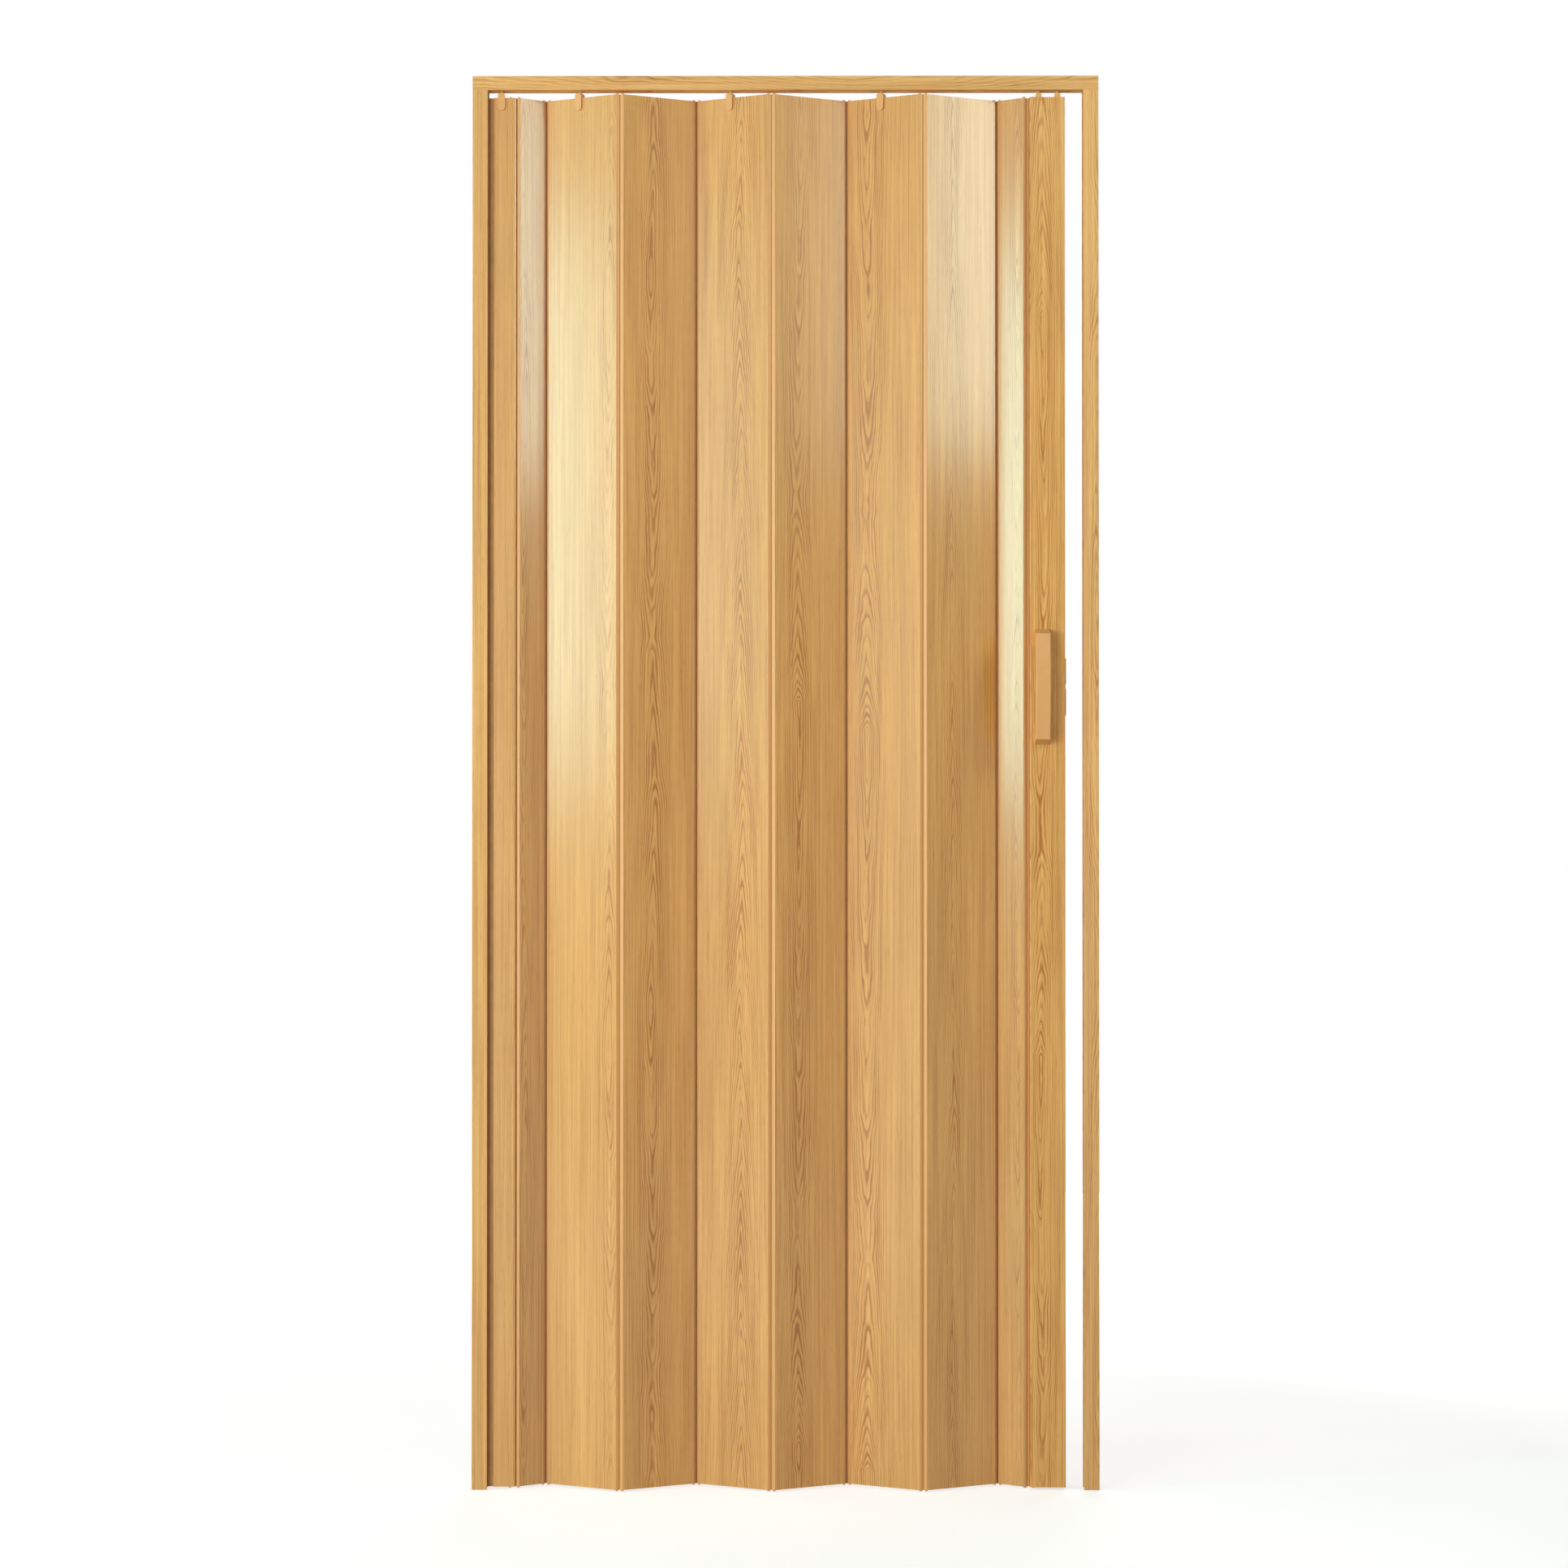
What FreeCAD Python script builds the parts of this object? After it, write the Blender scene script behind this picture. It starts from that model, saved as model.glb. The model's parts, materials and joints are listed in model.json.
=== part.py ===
import FreeCAD, Part
import os
import re

import Sketcher

# Accordion room divider: hollow slats joined by beaded hinge strips, hung from a slotted track.
# Millimetres. X runs along the track, Y is depth with the front at -Y, Z is up from the floor.

os.makedirs("parts", exist_ok=True)
doc = FreeCAD.newDocument("accordion_divider")

# Driving dimensions
DIMENSIONS = [
    ("frame_width", "900", "outside width over both jambs"),
    ("frame_height", "2030", "floor to the top of the track"),
    ("frame_depth", "26", "depth of the track and of both jambs"),
    ("frame_wall", "2", "wall of the track and of both jambs"),
    ("frame_round", "0.8", "rounding of the long outer edges of the frame"),
    ("jamb_face", "22", "width of a jamb seen from the front"),
    ("track_height", "20", "height of the track"),
    ("track_slot", "8", "width of the slot under the track"),
    ("fixing_hole_radius", "2.25", "fixing holes in the track and the jambs"),
    ("lintel_hole_outer", "400", "outer track holes, from the middle"),
    ("lintel_hole_inner", "140", "inner track holes, from the middle"),
    ("jamb_hole_low", "250", "lower jamb hole above the floor"),
    ("jamb_hole_rise", "1500", "upper jamb hole above the lower one"),
    ("head_gap", "10", "track to the top of the slats"),
    ("floor_gap", "3", "floor to the foot of the slats"),
    ("panel_pitch", "112.8", "slat width, bead axis to bead axis"),
    ("end_pitch", "51.7", "hinge axis of the stile or the post to the first bead of the folds"),
    ("panel_thickness", "7.4", "slat thickness, also across its round edges"),
    ("panel_wall", "1", "wall of a slat"),
    ("panel_rib", "0.8", "rib between two cells of a slat"),
    ("panel_edge", "5.5", "bead axis to the first cell of a slat"),
    ("glide_cell", "14.4", "cell of a slat that takes the plug of a glide"),
    ("hinge_pitch", "8", "bead to bead of a hinge strip between slats"),
    ("end_hinge_pitch", "12", "bead to bead of the two end hinge strips"),
    ("web_thickness", "1.2", "web of a hinge strip"),
    ("bead_radius", "1.9", "bead of a hinge strip"),
    ("bead_clearance", "0.06", "running clearance round a bead"),
    ("bead_proud", "2", "how far a bead stands out past the slat ends"),
    ("swing_clearance", "2.5", "spare angle at each side of a hinge mouth"),
    ("least_closed_angle", "16", "least angle of the slats to the track when shut"),
    ("fold_limit", "80", "angle of the slats to the track when folded up"),
    ("stile_recess", "8.5", "jamb mouth to the face of the wall stile"),
    ("stile_width", "31.5", "face of the wall stile"),
    ("stile_thickness", "11", "thickness of the wall stile"),
    ("stile_wall", "1.5", "wall of the wall stile"),
    ("stile_nose", "8", "hinge axis to the free edge of the wall stile"),
    ("tongue_thickness", "4", "tongue of the wall stile"),
    ("tongue_reach", "10", "how far the tongue enters the wall jamb"),
    ("rest_gap", "26", "leading post to the mouth of the strike jamb"),
    ("post_width", "51", "face of the leading post"),
    ("post_thickness", "18", "thickness of the leading post"),
    ("post_wall", "1.5", "wall of the leading post"),
    ("post_nose", "4.8", "hinge axis to the hinge edge of the leading post"),
    ("post_round", "1.5", "rounding of the long edges of the leading post"),
    ("socket_wall", "1.8", "least wall beside a bead socket in the stile and post"),
    ("glide_width", "10.4", "width of a slat glide"),
    ("glide_tab", "3.2", "thickness of the front tab of a glide"),
    ("glide_drop", "18.5", "front tab below the top of the slat"),
    ("glide_rise", "6.3", "shoulder of a glide above the slat"),
    ("glide_chamfer", "2", "cut corners of the shoulder"),
    ("plug_depth", "20", "plug of a glide below the top of the slat"),
    ("neck_radius", "2", "neck of a glide"),
    ("glide_head_radius", "8", "round head of a glide"),
    ("glide_head_height", "3", "height of the round head"),
    ("glide_lift", "0.2", "running clearance of the head above the track lips"),
    ("lead_glide_width", "9", "width of the glides of the leading post"),
    ("lead_glide_inset", "13.5", "hinge edge of the post to its first glide"),
    ("lead_glide_pitch", "27", "first to second glide of the post"),
    ("handle_centre", "1151", "middle of the handles above the floor"),
    ("handle_inset", "17.5", "hinge edge of the post to the middle of the handles"),
    ("handle_length", "166", "length of a handle at its base"),
    ("handle_slant", "7", "how much each end leans in"),
    ("handle_base", "21", "width of a handle at its base"),
    ("handle_front", "17.4", "width of a handle at its front"),
    ("handle_reach", "33", "reach of the bow in the middle"),
    ("handle_end_reach", "24", "reach of the bow at its ends"),
    ("handle_round", "1.2", "rounding of the bow"),
    ("grip_length", "120", "finger gap behind the bow"),
    ("grip_slant", "5", "how much each end of the finger gap leans in"),
    ("grip_depth", "22", "finger gap in the middle"),
    ("grip_end_depth", "10", "finger gap at its ends"),
    ("handle_screw_pitch", "141", "between the two handle screws"),
    ("handle_screw_radius", "2", "shank of a handle screw"),
    ("screw_clearance", "0.25", "clearance round a handle screw in the post and rear handle"),
    ("screw_head_radius", "3.6", "head of a handle screw"),
    ("screw_head_height", "2.6", "height of the head"),
    ("screw_seat", "6", "post face to the screw head in the rear handle"),
    ("screw_bite", "12", "how far a screw enters the front handle"),
    ("holder_length", "83", "magnet holder on the leading edge"),
    ("holder_width", "12", "width of the magnet holder"),
    ("holder_pad", "1.4", "how far the magnet holder stands out"),
    ("holder_notch", "7", "notch between its two pads"),
    ("holder_land", "0.6", "what is left of the pad in the notch"),
    ("holder_bevel", "1", "bevelled ends of the pads"),
    ("holder_body_width", "10", "part of the holder inside the post"),
    ("holder_body_length", "76", "length of that part"),
    ("holder_body_depth", "6", "depth of that part behind the face"),
    ("magnet_length", "26", "bar magnet"),
    ("magnet_width", "7", "width of the magnet"),
    ("magnet_depth", "5", "depth of the magnet"),
    ("magnet_recess", "0.3", "magnet below the face of its pad"),
    ("strike_length", "106", "strike plate"),
    ("strike_width", "16", "width of the strike plate"),
    ("strike_thickness", "1.5", "thickness of the strike plate"),
    ("catch_gap", "0.3", "magnet holder to strike plate when closed"),
    ("rivet_pitch", "94", "between the two rivets of the strike plate"),
    ("rivet_radius", "1.6", "shank of a rivet"),
    ("rivet_head_radius", "3", "head of a rivet"),
    ("rivet_head_height", "0.8", "height of the rivet head"),
    ("rivet_cover", "0.6", "jamb wall left behind a rivet"),
]

dims = doc.addObject("Spreadsheet::Sheet", "Dims")
for row, (alias, value, note) in enumerate(DIMENSIONS, start=1):
    dims.set(f"A{row}", note)
    dims.set(f"B{row}", value)
    dims.setAlias(f"B{row}", alias)
doc.recompute()


def size(alias):
    return float(dims.get(alias))


# What follows from the dimensions. The number of folds is the least odd one that still leaves the slats
# slanted when the door is shut.
LAYOUT = [
    ("wall_mouth_x", "=-Dims.frame_width / 2 + Dims.jamb_face"),
    ("stile_left_x", "=wall_mouth_x + Dims.stile_recess"),
    ("stile_right_x", "=stile_left_x + Dims.stile_width"),
    ("wall_pivot_x", "=stile_right_x - Dims.stile_nose"),
    ("strike_mouth_x", "=Dims.frame_width / 2 - Dims.jamb_face"),
    ("post_right_x", "=strike_mouth_x - Dims.rest_gap"),
    ("post_left_x", "=post_right_x - Dims.post_width"),
    ("lead_pivot_x", "=post_left_x + Dims.post_nose"),
    ("travel", "=Dims.rest_gap + Dims.jamb_face - Dims.frame_wall - Dims.strike_thickness"
               " - Dims.catch_gap - Dims.holder_pad"),
    ("span", "=lead_pivot_x - wall_pivot_x"),
    ("least_slant", "=cos(Dims.least_closed_angle)"),
    ("longest_fold", "=Dims.panel_pitch * least_slant + Dims.hinge_pitch"),
    ("spare_slant", "=(Dims.panel_pitch - 2 * Dims.end_pitch) * least_slant"),
    ("folds", "=max(3; 2 * ceil(((span + travel + spare_slant) / longest_fold - 1) / 2) + 1)"),
    ("slat_sum", "=(folds - 1) * Dims.panel_pitch + 2 * Dims.end_pitch"),
    ("fold_slant", "=(span - folds * Dims.hinge_pitch) / slat_sum"),
    ("closed_slant", "=(span + travel - folds * Dims.hinge_pitch) / slat_sum"),
    ("fold_angle", "=acos(fold_slant) / 1 deg"),
    ("closed_angle", "=acos(closed_slant) / 1 deg"),
    ("panel_run", "=Dims.panel_pitch * fold_slant"),
    ("end_run", "=Dims.end_pitch * fold_slant"),
    ("back_depth", "=Dims.end_pitch * sin(fold_angle)"),
    ("front_depth", "=(Dims.panel_pitch - Dims.end_pitch) * sin(fold_angle)"),
    ("end_panel_run", "=end_run - Dims.end_hinge_pitch"),
    ("end_panel_pitch", "=hypot(end_panel_run; back_depth)"),
    ("end_panel_angle", "=atan2(back_depth; end_panel_run) / 1 deg"),
    ("panel_top", "=Dims.frame_height - Dims.track_height - Dims.head_gap"),
    ("panel_height", "=panel_top - Dims.floor_gap"),
    ("knuckle_radius", "=Dims.panel_thickness / 2"),
    ("socket_radius", "=Dims.bead_radius + Dims.bead_clearance"),
    ("web_angle", "=asin(Dims.web_thickness / 2 / socket_radius) / 1 deg"),
    ("end_lead", "=end_panel_angle - fold_angle"),
    ("mouth_low", "=closed_angle + min(0; end_lead) - web_angle - Dims.swing_clearance"),
    ("mouth_high", "=Dims.fold_limit + max(0; end_lead) + web_angle + Dims.swing_clearance"),
    ("mouth_sweep", "=mouth_high - mouth_low"),
    ("knuckle_angle", "=asin(knuckle_radius / Dims.end_hinge_pitch) / 1 deg"),
    ("swing_low", "=closed_angle - fold_angle - knuckle_angle - Dims.swing_clearance"),
    ("swing_sweep", "=Dims.fold_limit - closed_angle + 2 * (knuckle_angle + Dims.swing_clearance)"),
    ("swing_radius", "=Dims.end_hinge_pitch + Dims.panel_thickness"),
    ("glide_head_z", "=Dims.frame_height - Dims.track_height + Dims.frame_wall + Dims.glide_lift"),
    ("handle_x", "=post_left_x + Dims.handle_inset"),
    ("handle_draft", "=atan2((Dims.handle_base - Dims.handle_front) / 2; Dims.handle_reach) / 1 deg"),
]

layout = doc.addObject("Spreadsheet::Sheet", "Layout")
for row, (alias, formula) in enumerate(LAYOUT, start=1):
    layout.set(f"A{row}", alias.replace("_", " "))
    layout.set(f"B{row}", formula)
    layout.setAlias(f"B{row}", alias)
doc.recompute()


def formula_of(text):
    """Puts the sheet's name before each alias, so that a formula can be written with plain names."""
    known = {alias: f"Dims.{alias}" for alias, _, _ in DIMENSIONS}
    known.update({alias: f"Layout.{alias}" for alias, _ in LAYOUT})
    return re.sub(r"[a-z_]+", lambda word: known.get(word.group(), word.group()), text)


def bind(thing, **formulas):
    for name, text in formulas.items():
        thing.setExpression(name, formula_of(text))


def place(thing, x="0", y="0", z="0", turn="0", axis=(0, 0, 1)):
    """Places an object with formulas: its point, and its turn about an axis in degrees."""
    point = f"create(<<vector>>; {formula_of(x)}; {formula_of(y)}; {formula_of(z)})"
    about = "create(<<vector>>; {}; {}; {})".format(*axis)
    thing.setExpression(
        "Placement",
        f"create(<<placement>>; {point}; create(<<rotation>>; {about}; {formula_of(turn)}))",
    )


def new_body(label):
    body = doc.addObject("PartDesign::Body", label)
    body.Label = label
    return body


def new_sketch(body, plane, name):
    sketch = body.newObject("Sketcher::SketchObject", name)
    support = [item for item in body.Origin.OriginFeatures if item.Role == plane][0]
    sketch.AttachmentSupport = [(support, "")]
    sketch.MapMode = "FlatFace"
    return sketch


def bind_distance(sketch, kind, first, second, text):
    """Adds a horizontal or vertical distance between two points and binds it to a formula."""
    number = sketch.addConstraint(Sketcher.Constraint(kind, *first, *second, probe(text)))
    sketch.setExpression(f"Constraints[{number}]", formula_of(text))


ORIGIN_POINT = (-1, 1)


def add_rectangle(sketch, left, low, width, height):
    """Adds a rectangle by its corner and its size, which are formulas."""
    start = {"x": left, "y": low, "w": width, "h": height}
    seed = {key: probe(text) for key, text in start.items()}
    corners = [
        FreeCAD.Vector(seed["x"], seed["y"]),
        FreeCAD.Vector(seed["x"] + seed["w"], seed["y"]),
        FreeCAD.Vector(seed["x"] + seed["w"], seed["y"] + seed["h"]),
        FreeCAD.Vector(seed["x"], seed["y"] + seed["h"]),
    ]
    lines = [
        sketch.addGeometry(Part.LineSegment(corners[i], corners[(i + 1) % 4]), False)
        for i in range(4)
    ]
    for i in range(4):
        sketch.addConstraint(Sketcher.Constraint("Coincident", lines[i], 2, lines[(i + 1) % 4], 1))
    for i, kind in enumerate(("Horizontal", "Vertical", "Horizontal", "Vertical")):
        sketch.addConstraint(Sketcher.Constraint(kind, lines[i]))
    bind_distance(sketch, "DistanceX", ORIGIN_POINT, (lines[0], 1), left)
    bind_distance(sketch, "DistanceY", ORIGIN_POINT, (lines[0], 1), low)
    bind_distance(sketch, "DistanceX", (lines[0], 1), (lines[0], 2), width)
    bind_distance(sketch, "DistanceY", (lines[1], 1), (lines[1], 2), height)


def probe(text):
    """The present value of a formula, to draw a sketch near its final shape."""
    return float(dims.evalExpression(formula_of(text)))


def pad(body, sketch, length):
    feature = body.newObject("PartDesign::Pad", "Pad")
    feature.Profile = sketch
    bind(feature, Length=length)
    sketch.Visibility = False
    doc.recompute()
    return feature


def solid_box(body, kind, at, sizes):
    """Adds or cuts a box by its corner and its size."""
    feature = body.newObject(f"PartDesign::{kind}Box", "Box")
    bind(feature, Length=sizes[0], Width=sizes[1], Height=sizes[2])
    place(feature, *at)
    return feature


def cylinder_z(body, kind, at, radius, height, start="0", sweep="360"):
    """Adds or cuts an upright cylinder, or a sector of one."""
    feature = body.newObject(f"PartDesign::{kind}Cylinder", "Cylinder")
    bind(feature, Radius=radius, Height=height, Angle=sweep)
    place(feature, *at, turn=start)
    return feature


def cylinder_along(body, kind, axis, at, radius, length):
    """Adds or cuts a cylinder that runs from its point along +X or +Y."""
    feature = body.newObject(f"PartDesign::{kind}Cylinder", "Cylinder")
    bind(feature, Radius=radius, Height=length)
    if axis == "X":
        place(feature, *at, turn="90", axis=(0, 1, 0))
    else:
        place(feature, *at, turn="-90", axis=(1, 0, 0))
    return feature


def dress(body, kind, test, **formulas):
    """Rounds or cuts the edges of the body that pass the test."""
    doc.recompute()
    base = body.Tip
    names = [f"Edge{i}" for i, edge in enumerate(base.Shape.Edges, start=1) if test(edge)]
    feature = body.newObject(f"PartDesign::{kind}", kind)
    feature.Base = (base, names)
    bind(feature, **formulas)
    doc.recompute()
    return feature


def straight_along(edge, axis):
    """True for a straight edge along one of the three axes."""
    if edge.Curve.TypeId != "Part::GeomLine":
        return False
    return abs(edge.Curve.Direction[axis]) > 0.999


def near(value, wanted):
    return abs(value - wanted) < 1e-4


def round_long_edges(body, axis, depth, radius):
    """Rounds the long edges of a profile at its front and its back, where depth is its whole depth in Y."""
    half = size(depth) / 2
    dress(body, "Fillet", lambda edge: straight_along(edge, axis) and near(abs(edge.CenterOfMass.y), half),
          Radius=radius)


# Frame
def top_track():
    body = new_body("top_track")
    section = new_sketch(body, "YZ_Plane", "TrackSection")
    add_rectangle(section, "-frame_depth / 2", "0", "frame_depth", "track_height")
    add_rectangle(section, "-frame_depth / 2 + frame_wall", "frame_wall",
                  "frame_depth - 2 * frame_wall", "track_height - 2 * frame_wall")
    pad(body, section, "frame_width")
    solid_box(body, "Subtractive", ("0", "-track_slot / 2", "0"),
              ("frame_width", "track_slot", "frame_wall"))
    for inset in ("lintel_hole_outer", "lintel_hole_inner"):
        for side in ("-", "+"):
            at = (f"frame_width / 2 {side} {inset}", "0", "track_height - frame_wall")
            cylinder_z(body, "Subtractive", at, "fixing_hole_radius", "frame_wall")
    round_long_edges(body, 0, "frame_depth", "frame_round")
    place(body, x="-frame_width / 2", z="frame_height - track_height")


def jamb(label, x, turn):
    """One jamb, drawn with its wall face at x = 0 and its mouth towards +X."""
    body = new_body(label)
    section = new_sketch(body, "XY_Plane", "JambSection")
    add_rectangle(section, "0", "-frame_depth / 2", "jamb_face", "frame_depth")
    pad(body, section, "frame_height - track_height")
    solid_box(body, "Subtractive", ("frame_wall", "-frame_depth / 2 + frame_wall", "0"),
              ("jamb_face - frame_wall", "frame_depth - 2 * frame_wall", "frame_height - track_height"))
    for rise in ("jamb_hole_low", "jamb_hole_low + jamb_hole_rise"):
        cylinder_along(body, "Subtractive", "X", ("0", "0", rise), "fixing_hole_radius", "frame_wall")
    if label == "strike_jamb":
        for side in ("-", "+"):
            at = ("rivet_cover", "0", f"handle_centre {side} rivet_pitch / 2")
            cylinder_along(body, "Subtractive", "X", at, "rivet_radius", "frame_wall - rivet_cover")
    round_long_edges(body, 2, "frame_depth", "frame_round")
    place(body, x=x, turn=turn)


# Slats and hinge strips
SIDE_CELLS = 3


def equal_cells(left, right):
    """The left edge and the width of each of the equal cells that fill a slat from left to right."""
    width = f"(({right} - ({left}) - {SIDE_CELLS - 1} * panel_rib) / {SIDE_CELLS})"
    return [(f"{left} + {i} * ({width} + panel_rib)", width) for i in range(SIDE_CELLS)]


def slat(label, pitch, cells, hand, x, y, turn):
    """A hollow slat from its left bead axis to its right one. The mouths of its two sockets open to
    opposite faces: with hand +1 the left one to the back, with hand -1 the left one to the front."""
    body = new_body(label)
    section = new_sketch(body, "XY_Plane", "SlatSection")
    add_rectangle(section, "0", "-panel_thickness / 2", pitch, "panel_thickness")
    for left, width in cells:
        add_rectangle(section, left, "-panel_thickness / 2 + panel_wall",
                      width, "panel_thickness - 2 * panel_wall")
    pad(body, section, "panel_height")
    for axis_x in ("0", pitch):
        cylinder_z(body, "Additive", (axis_x, "0", "0"), "knuckle_radius", "panel_height")
    left_start = "180 - mouth_high" if hand > 0 else "180 + mouth_low"
    right_start = "-mouth_high" if hand > 0 else "mouth_low"
    for axis_x, start in (("0", left_start), (pitch, right_start)):
        cylinder_z(body, "Subtractive", (axis_x, "0", "0"), "socket_radius", "panel_height")
        cylinder_z(body, "Subtractive", (axis_x, "0", "0"), "panel_thickness", "panel_height",
                   start=start, sweep="mouth_sweep")
    place(body, x=x, y=y, z="floor_gap", turn=turn)


def hinge_strip(label, pitch, radii, x, y):
    """A web with a bead on each edge, from its left bead axis at x, y along +X."""
    body = new_body(label)
    section = new_sketch(body, "XY_Plane", "WebSection")
    add_rectangle(section, "0", "-web_thickness / 2", pitch, "web_thickness")
    pad(body, section, "panel_height")
    for axis_x, radius in zip(("0", pitch), radii):
        at = (axis_x, "0", "-bead_proud")
        cylinder_z(body, "Additive", at, radius, "panel_height + 2 * bead_proud")
    place(body, x=x, y=y, z="floor_gap")


# Wall stile and leading post
def wall_stile():
    body = new_body("wall_stile")
    section = new_sketch(body, "XY_Plane", "StileSection")
    add_rectangle(section, "stile_left_x", "-stile_thickness / 2", "stile_width", "stile_thickness")
    add_rectangle(section, "stile_left_x + stile_wall", "-stile_thickness / 2 + stile_wall",
                  "stile_width - stile_nose - socket_radius - socket_wall - stile_wall",
                  "stile_thickness - 2 * stile_wall")
    pad(body, section, "panel_height")
    solid_box(body, "Additive", ("wall_mouth_x - tongue_reach", "-tongue_thickness / 2", "0"),
              ("tongue_reach + stile_recess", "tongue_thickness", "panel_height"))
    solid_box(body, "Additive", ("wall_mouth_x - tongue_reach", "-frame_depth / 2 + frame_wall", "0"),
              ("stile_wall", "frame_depth - 2 * frame_wall", "panel_height"))
    cylinder_z(body, "Subtractive", ("wall_pivot_x", "0", "0"), "socket_radius", "panel_height")
    cylinder_z(body, "Subtractive", ("wall_pivot_x", "0", "0"), "swing_radius", "panel_height",
               start="swing_low", sweep="swing_sweep")
    place(body, z="floor_gap")


def lead_post():
    body = new_body("lead_post")
    section = new_sketch(body, "XY_Plane", "PostSection")
    add_rectangle(section, "post_left_x", "-post_thickness / 2", "post_width", "post_thickness")
    add_rectangle(section, "lead_pivot_x + socket_radius + socket_wall",
                  "-post_thickness / 2 + post_wall",
                  "post_width - post_nose - socket_radius - socket_wall - post_wall",
                  "post_thickness - 2 * post_wall")
    pad(body, section, "panel_height")
    round_long_edges(body, 2, "post_thickness", "post_round")
    cylinder_z(body, "Subtractive", ("lead_pivot_x", "0", "0"), "socket_radius", "panel_height")
    cylinder_z(body, "Subtractive", ("lead_pivot_x", "0", "0"), "swing_radius", "panel_height",
               start="180 - swing_low - swing_sweep", sweep="swing_sweep")
    middle = "handle_centre - floor_gap"
    for side in ("-", "+"):
        at = ("handle_x", "-post_thickness / 2", f"{middle} {side} handle_screw_pitch / 2")
        cylinder_along(body, "Subtractive", "Y", at,
                       "handle_screw_radius + screw_clearance", "post_thickness")
    at = ("post_right_x - post_wall", "-holder_body_width / 2", f"{middle} - holder_body_length / 2")
    solid_box(body, "Subtractive", at, ("post_wall", "holder_body_width", "holder_body_length"))
    place(body, z="floor_gap")


# Glides
def glide(label, x, turn, plug_width, plug_thickness, front):
    """A hanger with its neck on the middle plane of the track and its front tab on the face at -front."""
    body = new_body(label)
    solid_box(body, "Additive", (f"-{plug_width} / 2", f"-{plug_thickness} / 2", "-plug_depth"),
              (plug_width, plug_thickness, "plug_depth"))
    shoulder_front = f"-{front} - glide_tab"
    solid_box(body, "Additive", ("-glide_width / 2", shoulder_front, "0"),
              ("glide_width", f"2 * {front} + glide_tab", "glide_rise"))
    cut_shoulders(body)
    solid_box(body, "Additive", ("-glide_width / 2", shoulder_front, "-glide_drop + glide_width / 2"),
              ("glide_width", "glide_tab", "glide_drop - glide_width / 2"))
    cylinder_along(body, "Additive", "Y", ("0", shoulder_front, "-glide_drop + glide_width / 2"),
                   "glide_width / 2", "glide_tab")
    add_neck_and_head(body)
    place(body, x=x, z="panel_top", turn=turn)


def cut_shoulders(body):
    top = size("glide_rise")
    dress(body, "Chamfer", lambda edge: straight_along(edge, 1) and near(edge.CenterOfMass.z, top),
          Size="glide_chamfer")


def add_neck_and_head(body):
    lift = "glide_head_z - panel_top"
    cylinder_z(body, "Additive", ("0", "0", "glide_rise"), "neck_radius", f"{lift} - glide_rise")
    cylinder_z(body, "Additive", ("0", "0", lift), "glide_head_radius", "glide_head_height")


def lead_glides():
    """The two hangers of the leading post, as one node."""
    solids = []
    for i, extra in enumerate(("0", "lead_glide_pitch"), start=1):
        body = new_body(f"lead_glide_{i}")
        at = ("-lead_glide_width / 2", "-post_thickness / 2 + post_wall", "-plug_depth")
        solid_box(body, "Additive", at,
                  ("lead_glide_width", "post_thickness - 2 * post_wall", "plug_depth + glide_rise"))
        cut_shoulders(body)
        add_neck_and_head(body)
        place(body, x=f"post_left_x + lead_glide_inset + {extra}", z="panel_top")
        solids.append(body)
    group(solids, "lead_glides")


def group(solids, label):
    """Joins separate equal solids into one node."""
    node = doc.addObject("Part::Compound", label)
    node.Label = label
    node.Links = solids


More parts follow.
